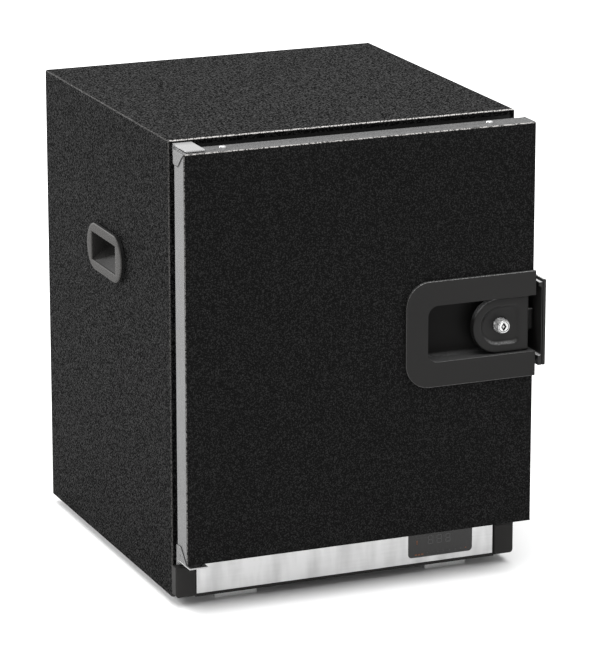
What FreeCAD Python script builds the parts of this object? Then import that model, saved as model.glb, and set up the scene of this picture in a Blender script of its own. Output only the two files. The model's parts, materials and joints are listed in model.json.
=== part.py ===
import FreeCAD, Part
import math
import os

# A lockable compact refrigerator of the minibar kind: an insulated steel cabinet with an overlapping
# side-hinged door, a key-locking paddle latch in a recessed pull, and a control fascia under the door.
# Millimetres. The dimensions below are measured in the cabinet's own axes: X from the left side panel,
# Y from the cabinet's front face towards the back, Z from the lower edge of the side panels.
# save() moves every piece to the row frame, whose origin is under the middle of the whole object.

V = FreeCAD.Vector

# Cabinet
WIDTH = 400.0
DEPTH = 390.0
HEIGHT = 502.5
SHEET = 1.0
FRONT_RETURN = 6.0
FOLD_RADIUS = 2.5
WALL = 33.0
CAVITY_Z = (77.0, 469.0)
CAVITY_DEPTH = 300.0
LINER = 2.0
FOAM_BACK = 330.0
MACHINE_ROOF = 36.0
FRAME_Y = (0.2, 1.2)
BACK_PLATE_Y = (DEPTH - SHEET, DEPTH)
PAN_RIM = 14.0
REAR_GRILLE_PROUD = 4.0
REAR_SCREWS = [(x, z) for x in (10.0, WIDTH - 10.0) for z in (24.0, 250.0, HEIGHT - 12.0)]
SCREW_HOLE = 1.85
INLET_X = (41.0, 69.0)
INLET_Z = (51.0, 73.0)

# Feet
FOOT_HEIGHT = 10.0
FOOT_SIZE = (49.0, 40.0)
FOOT_INSET_X = 51.0
FOOT_INSET_Y = 5.0

# Fascia under the door
FASCIA_PROUD = 11.5
FASCIA_TOP = 36.0
CORNER_WIDTH = 23.0
STRIP_X = (24.5, 375.5)
STRIP_Z = (3.5, 36.0)
STRIP_Y = (-9.5, -8.5)
WINDOW_X = (273.5, 350.5)
WINDOW_Z = (10.0, 36.0)
WINDOW_RADIUS = 4.5
DIGIT_HEIGHT = 10.0
DIGIT_WIDTH = 6.4
DIGIT_PITCH = 10.6
DIGIT_STROKE = 1.1
DIGIT_ORIGIN = (297.0, 23.6)

# Door
DOOR_X = (0.0, 403.7)
DOOR_Z = (49.0, 497.0)
DOOR_GAP = 17.6
DOOR_THICK = 28.0
DOOR_FRONT = -(DOOR_GAP + DOOR_THICK)
DOOR_BACK = -DOOR_GAP
SKIN = 1.2
EDGE_BAR = 4.0
DOOR_SCREW_X = (49.5, 356.0)
DOOR_SCREW_Y = -29.5
HINGE = (14.0, -29.0)
PIN_RADIUS = 3.0
BUSH_FIT = 0.06
BUSH_RADIUS = 5.5
PLATE_X = (5.0, 26.0)
PLATE_REACH = 40.0
PLATE_THICK = 1.5
PLATE_TOP_Z = 497.8
PLATE_BOTTOM_Z = 42.2
TAB_THICK = 1.6
TAB_SCREW_X = (10.5, 20.5)
TAB_SCREW_Z = (39.6, 492.0)
TAB_SCREW_RADIUS = 1.2
GASKET_X = (18.0, 385.7)
GASKET_Z = (62.0, 484.0)
GASKET_WIDTH = 14.0
DYKE_X = (37.0, 363.0)
DYKE_Z = (81.0, 465.0)
DYKE_WIDTH = 8.0
DYKE_DEPTH = 5.0
CORE_X = (DOOR_X[0] + 0.2 + EDGE_BAR, DOOR_X[1] - 0.2 - EDGE_BAR)
CORE_Z = (DOOR_Z[0] + 0.2 + EDGE_BAR, DOOR_Z[1] - 0.2 - EDGE_BAR)
RACK_DEPTH = 48.0
RACK_WALL = 2.5

# Latch
PLATE_FRONT = DOOR_FRONT - 3.5
SURROUND_X = (251.4, 404.9)
SURROUND_Z = (215.6, 333.5)
SURROUND_RADIUS = 28.0
POCKET_X = 277.2
POCKET_Z = (243.3, 306.3)
POCKET_FLOOR = -26.0
POCKET_RADIUS = 12.0
HOUSING_WALL = 3.0
PADDLE_Z = (244.1, 305.5)
PADDLE_Y = (-44.0, -35.0)
PADDLE_RIGHT = 399.0
DISH_MARGIN = 9.5
DISH_RIGHT = 387.5
DISH_DEPTH = 3.0
PADDLE_PIN = (392.0, -38.5)
PADDLE_PIN_RADIUS = 2.0
PIN_SPAN = (POCKET_Z[0] - 2.5, POCKET_Z[1] + 2.5)
SPRING_Z = (264.0, 286.0)
SPRING_RADIUS = 2.85
LOCK_X = 366.4
LOCK_RADIUS = 8.2
PLUG_RADIUS = 5.5
LOCK_FACE = -50.5
LOCK_BACK = -31.0
LOCK_Z = sum(POCKET_Z) / 2
BOLT_X = (383.0, 410.0)
BOLT_Y = (-32.0, -27.0)
BOLT_Z = (264.0, 286.0)

# Keeper on the cabinet's right side
KEEPER_X = (407.6, 416.0)
KEEPER_FRONT = -51.0
KEEPER_Z = (227.3, 323.5)
KEEPER_FLANGE = 3.2

# Carry handles
CARRY_Y = (136.0, 246.0)
CARRY_Z = (310.4, 363.3)
CARRY_PROUD = 4.6
CARRY_RADIUS = 19.0
CARRY_MOUTH_Y = (155.0, 230.5)
CARRY_MOUTH_Z = (320.3, 352.4)
CARRY_DEPTH = 24.0

# Cold side
COLD_PLATE = ((110.0, 290.0), (290.0, 298.0), (250.0, 430.0))
THERMAL_BLOCK = ((175.0, 225.0), (298.0, 334.0), (315.0, 365.0))
FAN_CENTRE = (200.0, 340.0)
FAN_RADIUS = 38.0
FAN_COVER = ((95.0, 305.0), (262.0, 298.0), (240.0, 440.0))
REAR_FAN_RADIUS = 44.0
SHELF_Z = 235.0
SHELF_Y = (64.0, 290.0)

X_RANGE = (-CARRY_PROUD, KEEPER_X[1])
Y_RANGE = (KEEPER_FRONT, DEPTH + REAR_GRILLE_PROUD)
TO_ROW_FRAME = V(-sum(X_RANGE) / 2, -sum(Y_RANGE) / 2, FOOT_HEIGHT)


def save(name, *solids):
    """Writes one node's solids, moved to the row frame."""
    shape = solids[0] if len(solids) == 1 else Part.makeCompound(list(solids))
    shape = shape.copy()
    shape.translate(TO_ROW_FRAME)
    shape.exportStep(f"parts/{name}.step")


def block(x, y, z):
    """A box from three (low, high) pairs."""
    return Part.makeBox(x[1] - x[0], y[1] - y[0], z[1] - z[0], V(x[0], y[0], z[0]))


def rod(radius, start, end):
    """A cylinder between two points."""
    along = V(*end) - V(*start)
    return Part.makeCylinder(radius, along.Length, V(*start), along)


def fused(shapes):
    """One shape from several that touch or overlap."""
    return shapes[0].multiFuse(shapes[1:]).removeSplitter()


def round_edges(shape, radius, keep):
    """Rounds the edges whose box keep(box) accepts."""
    return shape.makeFillet(radius, [e for e in shape.Edges if keep(e.BoundBox)])


def at_y(value):
    """Picks edges that lie in the plane Y = value."""
    return lambda b: abs(b.YMin - value) < 1e-4 and abs(b.YMax - value) < 1e-4


def at_x(value):
    """Picks edges that lie in the plane X = value."""
    return lambda b: abs(b.XMin - value) < 1e-4 and abs(b.XMax - value) < 1e-4


def grown(span, by):
    """A (low, high) pair moved outwards by one distance."""
    return (span[0] - by, span[1] + by)


def rounded_prism(u, v, radii, along, axis):
    """A prism along an axis with a rounded rectangle as its section.

    radii go round from (low u, low v) to (high u, low v), (high u, high v) and (low u, high v).
    The section lies in X and Z for a prism along Y, and in Y and Z for a prism along X.
    """
    corners = [(u[0], v[0]), (u[1], v[0]), (u[1], v[1]), (u[0], v[1])]
    inward = [(1, 1), (-1, 1), (-1, -1), (1, -1)]

    def point(a, b):
        return V(a, along[0], b) if axis == "Y" else V(along[0], a, b)

    starts, edges = [], []
    for (a, b), (da, db), r in zip(corners, inward, radii):
        first = (a, b + db * r) if da * db > 0 else (a + da * r, b)
        last = (a + da * r, b) if da * db > 0 else (a, b + db * r)
        starts.append((first, last))
        if r > 0:
            bulge = r * (1 - math.sqrt(0.5))
            middle = (a + da * bulge, b + db * bulge)
            edges.append(Part.Arc(point(*first), point(*middle), point(*last)).toShape())
    for i, (_, last) in enumerate(starts):
        following = starts[(i + 1) % 4][0]
        if math.dist(last, following) > 1e-6:
            edges.append(Part.LineSegment(point(*last), point(*following)).toShape())
    face = Part.Face(Part.Wire(Part.__sortEdges__(edges)))
    travel = along[1] - along[0]
    return face.extrude(V(0, travel, 0) if axis == "Y" else V(travel, 0, 0))


def pan_screw(point, direction, head_radius=3.6, head=2.2, shank_radius=1.8, shank=5.0):
    """A domed screw whose head sits on the surface at point and looks along direction."""
    out = V(*direction)
    top = V(*point) + out * head
    dome = Part.makeCylinder(head_radius, head, V(*point), out)
    dome = dome.makeFillet(head * 0.7, [e for e in dome.Edges if e.distToShape(Part.Vertex(top))[0] <
                                        head_radius + 1e-3 and (e.CenterOfMass - top).Length < 1e-3])
    cut = V(*point) + out * (head * 0.55)
    cross = [Part.makeBox(3.6, 0.8, 3.0, V(-1.8, -0.4, 0)), Part.makeBox(0.8, 3.6, 3.0, V(-0.4, -1.8, 0))]
    turn = FreeCAD.Rotation(V(0, 0, 1), out)
    slots = []
    for bar in cross:
        bar.Placement = FreeCAD.Placement(cut, turn)
        slots.append(bar)
    body = Part.makeCylinder(shank_radius, shank, V(*point) - out * shank, out)
    return dome.cut(slots[0]).cut(slots[1]).fuse(body).removeSplitter()


def mirrored_x(shape):
    """The same piece on the cabinet's other side."""
    return shape.mirror(V(WIDTH / 2, 0, 0), V(1, 0, 0))


# ---------------------------------------------------------------- cabinet

def carry_cup_space(outside, wall):
    """The wedge that fingers enter: shallow at its lower lip and deep under its upper one."""
    y = grown(CARRY_MOUTH_Y, wall)
    low, high = grown(CARRY_MOUTH_Z, wall)
    deep = CARRY_DEPTH + wall
    points = [V(outside, y[0], low), V(outside, y[0], high), V(deep, y[0], high),
              V(deep, y[0], high - deep * 0.35), V(1.5 + wall, y[0], low)]
    face = Part.Face(Part.makePolygon(points + points[:1]))
    return face.extrude(V(0, y[1] - y[0], 0))


def make_carry_handle():
    """A moulded bezel that stands off the side panel, with a closed finger cup behind it."""
    bezel = rounded_prism(CARRY_Y, CARRY_Z, [CARRY_RADIUS] * 4, (-CARRY_PROUD, 0), "X")
    bezel = round_edges(bezel, 2.4, at_x(-CARRY_PROUD))
    cup = carry_cup_space(0.0, 2.0)
    return bezel.fuse(cup).cut(carry_cup_space(-CARRY_PROUD - 1, 0.0)).removeSplitter()


def carry_cutout():
    """What the side panel and the insulation leave for a carry handle's cup."""
    y = grown(CARRY_MOUTH_Y, 2.2)
    z = grown(CARRY_MOUTH_Z, 2.2)
    return block((-1, CARRY_DEPTH + 2.5), y, z)


def make_wrapper():
    """The folded steel wrapper: both sides and the top, returned inwards round the front."""
    outer = block((0, WIDTH), (0, DEPTH), (0, HEIGHT))
    outer = round_edges(outer, FOLD_RADIUS, lambda b: b.ZMin > HEIGHT - 1e-3 and b.YLength > 1)
    outer = round_edges(outer, 1.6, lambda b: at_y(0)(b) and b.ZMax > 1)
    inner = block((SHEET, WIDTH - SHEET), (SHEET, DEPTH + 1), (-1, HEIGHT - SHEET))
    mouth = block((FRONT_RETURN, WIDTH - FRONT_RETURN), (-1, SHEET + 1), (-1, HEIGHT - FRONT_RETURN))
    wrapper = outer.cut(inner).cut(mouth)
    return wrapper.cut(carry_cutout()).cut(mirrored_x(carry_cutout()))


def make_front_frame():
    """The flat steel face round the cavity mouth that the gasket closes on."""
    x = (FRONT_RETURN, WIDTH - FRONT_RETURN)
    frame = block(x, FRAME_Y, (MACHINE_ROOF, HEIGHT - FRONT_RETURN))
    mouth = block(grown((WALL, WIDTH - WALL), -LINER), grown(FRAME_Y, 1), grown(CAVITY_Z, -LINER))
    return frame.cut(mouth)


def make_base_pan():
    """The bottom tray, turned up inside the wrapper."""
    tray = block((SHEET, WIDTH - SHEET), (SHEET, DEPTH - SHEET), (0, PAN_RIM))
    hollow = block((2 * SHEET, WIDTH - 2 * SHEET), (0, DEPTH - 2 * SHEET), (1.2, PAN_RIM + 1))
    return tray.cut(hollow)


def make_back_panel():
    """The rear cover, with slots behind the fan and the inlet's cutout."""
    panel = block((SHEET, WIDTH - SHEET), BACK_PLATE_Y, (PAN_RIM, HEIGHT - SHEET))
    through = (DEPTH - 5, DEPTH + 5)
    cx, cz = FAN_CENTRE
    vent = rod(REAR_FAN_RADIUS + 4, (cx, through[0], cz), (cx, through[1], cz))
    inlet = block(grown(INLET_X, 0.5), through, grown(INLET_Z, 0.5))
    low_slots = [block((110 + 20 * i, 118 + 20 * i), through, (60, 130)) for i in range(10)]
    screw_holes = [rod(SCREW_HOLE, (x, through[0], z), (x, through[1], z)) for x, z in REAR_SCREWS]
    return panel.cut([vent, inlet] + low_slots + screw_holes)


def make_foam():
    """The foamed insulation round the cavity and over the machine space."""
    foam = block((SHEET, WIDTH - SHEET), (FRAME_Y[1], FOAM_BACK), (MACHINE_ROOF, HEIGHT - SHEET))
    cavity = block((WALL, WIDTH - WALL), (0, CAVITY_DEPTH), CAVITY_Z)
    throat = block(THERMAL_BLOCK[0], (CAVITY_DEPTH - 1, FOAM_BACK + 1), THERMAL_BLOCK[2])
    return foam.cut([cavity, throat, carry_cutout(), mirrored_x(carry_cutout())])


def make_liner():
    """The moulded cavity liner, open at the front and holed for the cold block."""
    outer = block((WALL, WIDTH - WALL), (FRAME_Y[1], CAVITY_DEPTH), CAVITY_Z)
    inner = block(grown((WALL, WIDTH - WALL), -LINER), (0, CAVITY_DEPTH - LINER), grown(CAVITY_Z, -LINER))
    inner = round_edges(inner, 8.0, lambda b: b.YLength > 100)
    throat = block(THERMAL_BLOCK[0], (CAVITY_DEPTH - 5, CAVITY_DEPTH + 1), THERMAL_BLOCK[2])
    return outer.cut(inner).cut(throat).multiFuse(shelf_ribs()).removeSplitter()


def make_cold_plate():
    """The finned cold plate and the block that carries heat out through the wall."""
    x, y, z = COLD_PLATE
    plate = block(x, y, z)
    fins = [block((x[0] + 6 + 12 * i, x[0] + 8 + 12 * i), (y[0] - 10, y[0]), grown(z, -6)) for i in range(15)]
    return fused([plate, block(*THERMAL_BLOCK)] + fins)


def make_fan_cover():
    """The interior fan duct: a box open at the back, with a ringed inlet and outlet slots at the top."""
    x, y, z = FAN_COVER
    shell = round_edges(block(x, y, z), 5.0, at_y(y[0]))
    hollow = block(grown(x, -2.5), (y[0] + 2.5, y[1] + 1), grown(z, -2.5))
    cx, cz = FAN_CENTRE
    inlet = rod(FAN_RADIUS, (cx, y[0] - 1, cz), (cx, y[0] + 4, cz))
    slot = ((y[0] + 6, y[1] - 4), (z[1] - 4, z[1] + 1))
    outlets = [block((x[0] + 20 + 14 * i, x[0] + 28 + 14 * i), *slot) for i in range(13)]
    cover = shell.cut([hollow, inlet] + outlets)
    rings = []
    for radius in (12.0, 21.0, 30.0):
        ring = rod(radius, (cx, y[0], cz), (cx, y[0] + 2.5, cz))
        rings.append(ring.cut(rod(radius - 2.0, (cx, y[0] - 1, cz), (cx, y[0] + 4, cz))))
    reach = FAN_RADIUS + 1.0
    bars = [block((cx - reach, cx + reach), (y[0], y[0] + 2.5), (cz - 1.2, cz + 1.2)),
            block((cx - 1.2, cx + 1.2), (y[0], y[0] + 2.5), (cz - reach, cz + reach))]
    return fused([cover] + rings + bars)


def make_rotor(radius, y, blades):
    """An axial fan rotor about the fan axis: a capped hub with pitched blades."""
    cx, cz = FAN_CENTRE
    hub = rod(radius * 0.36, (cx, y[0], cz), (cx, y[1], cz))
    hub = round_edges(hub, 1.2, at_y(y[0]))
    blade = Part.makeBox(radius * 0.72, 1.4, radius * 0.55, V(0, -0.7, -radius * 0.275))
    blade.rotate(V(0, 0, 0), V(1, 0, 0), 38)
    blade.translate(V(radius * 0.26, (y[0] + y[1]) / 2, 0))
    arms = []
    for i in range(blades):
        arm = blade.copy()
        arm.rotate(V(0, 0, 0), V(0, 1, 0), 360 * i / blades)
        arm.translate(V(cx, 0, cz))
        arms.append(arm)
    return fused([hub] + arms)


def make_fan_frame(size, y, radius, hub_radius):
    """A square fan housing with a round duct and four struts that carry the motor."""
    cx, cz = FAN_CENTRE
    frame = block((cx - size / 2, cx + size / 2), y, (cz - size / 2, cz + size / 2))
    frame = round_edges(frame, 4.0, lambda b: b.YLength > 1)
    frame = frame.cut(rod(radius, (cx, y[0] - 1, cz), (cx, y[1] + 1, cz)))
    motor = rod(hub_radius, (cx, y[1] - 3, cz), (cx, y[1], cz))
    reach = radius + 1.0
    struts = [block((cx - reach, cx + reach), (y[1] - 3, y[1]), (cz - 2, cz + 2)),
              block((cx - 2, cx + 2), (y[1] - 3, y[1]), (cz - reach, cz + reach))]
    return fused([frame, motor] + struts)


def make_heat_sink():
    """The finned hot-side sink behind the insulation."""
    x, z = (130, 270), (270, 410)
    base = block(x, (FOAM_BACK + 8, FOAM_BACK + 14), z)
    fin_y = (FOAM_BACK + 14, FOAM_BACK + 34)
    fins = [block((x[0] + 1 + 8.5 * i, x[0] + 3 + 8.5 * i), fin_y, z) for i in range(17)]
    return fused([base] + fins)


def make_rear_grille():
    """The round finger guard over the rear fan."""
    cx, cz = FAN_CENTRE
    y = (DEPTH, DEPTH + REAR_GRILLE_PROUD)
    rings = []
    for radius in (52.0, 42.0, 32.0, 22.0, 12.0):
        ring = rod(radius, (cx, y[0] + 1, cz), (cx, y[1], cz))
        rings.append(ring.cut(rod(radius - 3.0, (cx, y[0], cz), (cx, y[1] + 1, cz))))
    spokes = []
    for i in range(6):
        spoke = Part.makeBox(52.0, 2.5, 3.0, V(0, y[0] + 1, -1.5))
        spoke.rotate(V(0, 0, 0), V(0, 1, 0), 60 * i)
        spoke.translate(V(cx, 0, cz))
        spokes.append(spoke)
    rim = rod(56.0, (cx, y[0], cz), (cx, y[0] + 2.5, cz))
    rim = rim.cut(rod(50.0, (cx, y[0] - 1, cz), (cx, y[0] + 4, cz)))
    return fused([rim] + rings + spokes)


def make_inlet():
    """A three-pin appliance inlet, flush in the rear panel."""
    shell = block(INLET_X, (DEPTH - 24, DEPTH), INLET_Z)
    rim = block(grown(INLET_X, 4), (DEPTH, DEPTH + 2), grown(INLET_Z, 4))
    rim = round_edges(rim, 2.5, lambda b: b.YLength > 1)
    socket = block(grown(INLET_X, -2.5), (DEPTH - 20, DEPTH + 3), grown(INLET_Z, -3))
    middle = sum(INLET_X) / 2
    pins = []
    for dx, z in ((-7, 59), (0, 63), (7, 59)):
        pins.append(block((middle + dx - 1, middle + dx + 1), (DEPTH - 21, DEPTH - 4), (z, z + 4)))
    return fused([shell.fuse(rim).cut(socket)] + pins)


def make_wire_shelf():
    """A rod frame with crosswise wires."""
    x = (WALL + LINER + 1.5, WIDTH - WALL - LINER - 1.5)
    rim, wire = 2.5, 1.5
    lows = [rod(rim, (x[0] + rim, y, SHELF_Z), (x[1] - rim, y, SHELF_Z)) for y in SHELF_Y]
    sides = [rod(rim, (u, SHELF_Y[0], SHELF_Z), (u, SHELF_Y[1], SHELF_Z)) for u in (x[0] + rim, x[1] - rim)]
    corners = [Part.makeSphere(rim, V(u, y, SHELF_Z)) for u in (x[0] + rim, x[1] - rim) for y in SHELF_Y]
    count = 17
    step = (x[1] - x[0] - 2 * rim) / (count + 1)
    wires = [rod(wire, (x[0] + rim + step * (i + 1), SHELF_Y[0], SHELF_Z + 0.6),
                 (x[0] + rim + step * (i + 1), SHELF_Y[1], SHELF_Z + 0.6)) for i in range(count)]
    return fused(lows + sides + corners + wires)


def shelf_ribs():
    """Four ribs moulded on the liner's sides, a pair under and a pair over the shelf."""
    ribs = []
    for x in ((WALL + 1, WALL + LINER + 7), (WIDTH - WALL - LINER - 7, WIDTH - WALL - 1)):
        ribs.append(block(x, (70, 280), (SHELF_Z - 6.6, SHELF_Z - 2.6)))
        ribs.append(block(x, (70, 280), (SHELF_Z + 3.4, SHELF_Z + 7.4)))
    return ribs


def cabinet():
    """Everything that stays with the cabinet, apart from its fascia, hinges and keeper."""
    save("cabinet_wrapper", make_wrapper())
    save("front_frame", make_front_frame())
    save("base_pan", make_base_pan())
    save("back_panel", make_back_panel())
    save("cabinet_foam", make_foam())
    save("inner_liner", make_liner())
    handle = make_carry_handle()
    save("carry_handle_left", handle)
    save("carry_handle_right", mirrored_x(handle))
    save("cold_plate", make_cold_plate())
    save("fan_cover", make_fan_cover())
    save("peltier_module", block((180, 220), (THERMAL_BLOCK[1][1], FOAM_BACK + 8), (320, 360)))
    save("heat_sink", make_heat_sink())
    save("rear_fan_frame", make_fan_frame(104.0, (FOAM_BACK + 35, DEPTH - 2), REAR_FAN_RADIUS + 1.5, 15.0))
    save("rear_grille", make_rear_grille())
    save("power_inlet", make_inlet())
    supply = block((30, 170), (FOAM_BACK + 4, DEPTH - 26), (60, 150))
    save("power_supply", round_edges(supply, 2.0, at_y(DEPTH - 26)))
    save("wire_shelf", make_wire_shelf())
    lamp = round_edges(block((165, 235), (84, 106), (CAVITY_Z[1] - LINER - 7, CAVITY_Z[1] - LINER)), 3.0,
                       lambda b: b.ZMax < CAVITY_Z[1] - LINER - 6)
    save("interior_lamp", lamp)
    clip = block((316, 328), (291, 298), (316, 328))
    save("temperature_probe", rod(3.0, (322, 288, 300), (322, 288, 345)), clip)
    save("rear_screws", *[pan_screw((x, DEPTH, z), (0, 1, 0)) for x, z in REAR_SCREWS])


def feet():
    """Four metal blocks under the base, each held by a countersunk screw."""
    blocks, screws = [], []
    for x in (FOOT_INSET_X, WIDTH - FOOT_INSET_X - FOOT_SIZE[0]):
        for y in (FOOT_INSET_Y, DEPTH - FOOT_INSET_Y - FOOT_SIZE[1]):
            middle = (x + FOOT_SIZE[0] / 2, y + FOOT_SIZE[1] / 2)
            foot = block((x, x + FOOT_SIZE[0]), (y, y + FOOT_SIZE[1]), (-FOOT_HEIGHT, 0))
            foot = round_edges(foot, 1.0, lambda b: b.ZMax < -FOOT_HEIGHT + 1e-3)
            hole = rod(2.2, (*middle, -FOOT_HEIGHT - 1), (*middle, 1))
            seat = rod(5.0, (*middle, -FOOT_HEIGHT - 1), (*middle, -FOOT_HEIGHT + 4))
            blocks.append(foot.cut([hole, seat]))
            head = rod(4.4, (*middle, -FOOT_HEIGHT + 1.5), (*middle, -FOOT_HEIGHT + 4))
            screws.append(head.fuse(rod(2.0, (*middle, -FOOT_HEIGHT + 4), (*middle, 0))).removeSplitter())
    save("feet", *blocks)
    save("foot_screws", *screws)


# ---------------------------------------------------------------- fascia

def make_corner_block():
    """The left end block of the fascia, rounded at its outer corner."""
    body = block((0, CORNER_WIDTH), (-FASCIA_PROUD, 0), (1.5, FASCIA_TOP))
    body = round_edges(body, 4.0, lambda b: b.YLength > 1 and b.XMax < 1 and b.ZMax < 2)
    return round_edges(body, 1.5, lambda b: at_y(-FASCIA_PROUD)(b) and b.ZMax > 2)


def make_carrier():
    """The moulding behind the bright strip, with the lip under it and a bay for the display board."""
    body = block((CORNER_WIDTH, WIDTH - CORNER_WIDTH), (STRIP_Y[1], 0), (0, FASCIA_TOP))
    lip = block((CORNER_WIDTH, WIDTH - CORNER_WIDTH), (STRIP_Y[0] - 0.2, STRIP_Y[1]), (0, STRIP_Z[0] - 0.1))
    bay = block((WINDOW_X[0] - 4, WINDOW_X[1] + 4), (-6.5, 1), (5, 32))
    return body.fuse(lip).cut(bay).removeSplitter()


def window_prism(y, margin):
    """The display window's outline, with its two lower corners rounded."""
    r = WINDOW_RADIUS
    return rounded_prism(grown(WINDOW_X, margin), (WINDOW_Z[0] - margin, WINDOW_Z[1]), [r, r, 0, 0], y, "Y")


def seven_segments(digit, x, z):
    """The lit bars of one digit with its lower left corner at (x, z)."""
    w, h, s = DIGIT_WIDTH, DIGIT_HEIGHT, DIGIT_STROKE
    middle = h / 2
    bars = {
        "a": ((s, w - s), (h - s, h)), "d": ((s, w - s), (0, s)),
        "g": ((s, w - s), (middle - s / 2, middle + s / 2)),
        "f": ((0, s), (middle + 0.3, h - 0.3)), "b": ((w - s, w), (middle + 0.3, h - 0.3)),
        "e": ((0, s), (0.3, middle - 0.3)), "c": ((w - s, w), (0.3, middle - 0.3)),
    }
    lit = {"0": "abcdef", "4": "bcfg", "6": "acdefg", "8": "abcdefg"}[digit]
    y = (STRIP_Y[0] + 0.05, STRIP_Y[0] + 0.2)
    shapes = []
    for across, upward in (bars[k] for k in lit):
        shapes.append(block(grown((x + across[0], x + across[1]), -0.1), y, (z + upward[0], z + upward[1])))
    return shapes


def fascia():
    """The control fascia on the cabinet's front, under the door."""
    corner = make_corner_block()
    save("corner_block_left", corner)
    save("corner_block_right", mirrored_x(corner))
    save("fascia_carrier", make_carrier())
    strip = block(STRIP_X, STRIP_Y, STRIP_Z).cut(window_prism((STRIP_Y[0] - 1, STRIP_Y[1] + 1), 0.15))
    save("fascia_strip", strip)
    save("display_window", window_prism((STRIP_Y[0] + 0.2, STRIP_Y[1]), 0.0))
    save("display_board", block((WINDOW_X[0], WINDOW_X[1]), (-6.5, -4.9), (6, 31)))
    bars = []
    for i, digit in enumerate("004"):
        bars += seven_segments(digit, DIGIT_ORIGIN[0] + DIGIT_PITCH * i, DIGIT_ORIGIN[1])
    save("display_digits", *bars)


# ---------------------------------------------------------------- hinges and keeper

def make_hinge_plate(z, tab, screw_z):
    """A flat hinge arm over or under the door's corner, with a tab screwed to the front frame."""
    arm = block(PLATE_X, (-PLATE_REACH, 0), (z, z + PLATE_THICK))
    arm = round_edges(arm, 1.0, lambda b: b.ZLength > 1 and b.YMax < -PLATE_REACH + 1)
    holes = [rod(TAB_SCREW_RADIUS + 0.05, (x, -TAB_THICK - 1, screw_z), (x, 1, screw_z)) for x in TAB_SCREW_X]
    return arm.fuse(block(PLATE_X, (-TAB_THICK, 0), tab)).removeSplitter().cut(holes)


def hinges():
    """The two hinge arms with their pins and screws, at the cabinet's left corners."""
    top_tab = (486.0, PLATE_TOP_Z + PLATE_THICK)
    low_tab = (MACHINE_ROOF + 0.1, PLATE_BOTTOM_Z + PLATE_THICK)
    save("hinge_plate_top", make_hinge_plate(PLATE_TOP_Z, top_tab, TAB_SCREW_Z[1]))
    save("hinge_plate_bottom", make_hinge_plate(PLATE_BOTTOM_Z, low_tab, TAB_SCREW_Z[0]))
    top_pin = rod(PIN_RADIUS, (*HINGE, 486), (*HINGE, PLATE_TOP_Z))
    low_pin = rod(PIN_RADIUS, (*HINGE, PLATE_BOTTOM_Z + PLATE_THICK), (*HINGE, 61))
    save("hinge_pins", top_pin, low_pin)
    save("hinge_screws", *[pan_screw((x, -TAB_THICK, z), (0, -1, 0), 2.6, 1.4, TAB_SCREW_RADIUS, TAB_THICK)
                           for z in TAB_SCREW_Z for x in TAB_SCREW_X])


def keeper():
    """The keeper on the cabinet's right side: an outer bracket and a recessed strike, with a slot between."""
    inner_x = KEEPER_X[1] - KEEPER_FLANGE
    flange = block((inner_x, KEEPER_X[1]), (KEEPER_FRONT, 46), KEEPER_Z)
    mount = block((WIDTH, inner_x), (6, 46), KEEPER_Z)
    bridge = block((KEEPER_X[0], inner_x), (-6, 6), KEEPER_Z)
    bracket = fused([flange, mount, bridge])
    bracket = round_edges(bracket, 1.5, lambda b: b.YLength > 20 and b.XMin > KEEPER_X[1] - 0.1)
    spots = [(26, 250.0), (26, 300.0)]
    seats = []
    for y, z in spots:
        seats.append(rod(4.2, (KEEPER_X[1] - 3.0, y, z), (KEEPER_X[1] + 1, y, z)))
        seats.append(rod(2.2, (WIDTH - 1, y, z), (KEEPER_X[1], y, z)))
    save("keeper_bracket", bracket.cut(seats))
    strike = block((KEEPER_X[0], inner_x - 1.0), (KEEPER_FRONT, -6), (KEEPER_Z[0], KEEPER_Z[1] - 3.0))
    recess = block((KEEPER_X[0] - 1, KEEPER_X[0] + 3.2), (KEEPER_FRONT - 1, -9), (238.0, 316.0))
    recess = round_edges(recess, 2.5, lambda b: b.YLength > 10 and b.XMin > KEEPER_X[0])
    strike = strike.cut(recess)
    spacer = block((inner_x - 1.0, inner_x), (-30, -6), (KEEPER_Z[0] + 2, KEEPER_Z[1] - 12))
    save("keeper_strike", strike.fuse(spacer).removeSplitter())
    screws = []
    for y, z in spots:
        head = rod(3.9, (KEEPER_X[1] - 3.0, y, z), (KEEPER_X[1] - 0.8, y, z))
        hexagon = Part.Face(Part.makePolygon([V(KEEPER_X[1] - 2.2, y + 2 * math.cos(math.radians(60 * i)),
                                                z + 2 * math.sin(math.radians(60 * i))) for i in range(7)]))
        head = head.cut(hexagon.extrude(V(3, 0, 0)))
        screws.append(head.fuse(rod(2.0, (WIDTH, y, z), (KEEPER_X[1] - 3.0, y, z))).removeSplitter())
    save("keeper_screws", *screws)


# ---------------------------------------------------------------- door

def latch_cutout(y):
    """The space in the door that the latch housing fills, open at the door's right edge."""
    return block((POCKET_X - HOUSING_WALL, DOOR_X[1] + 2), y, grown(POCKET_Z, HOUSING_WALL))


def make_door_skin():
    """The textured front sheet of the door."""
    skin = block(DOOR_X, (DOOR_FRONT, DOOR_FRONT + SKIN), DOOR_Z)
    skin = round_edges(skin, 1.0, at_y(DOOR_FRONT))
    return skin.cut(latch_cutout((DOOR_FRONT - 1, DOOR_FRONT + SKIN + 1)))


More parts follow.
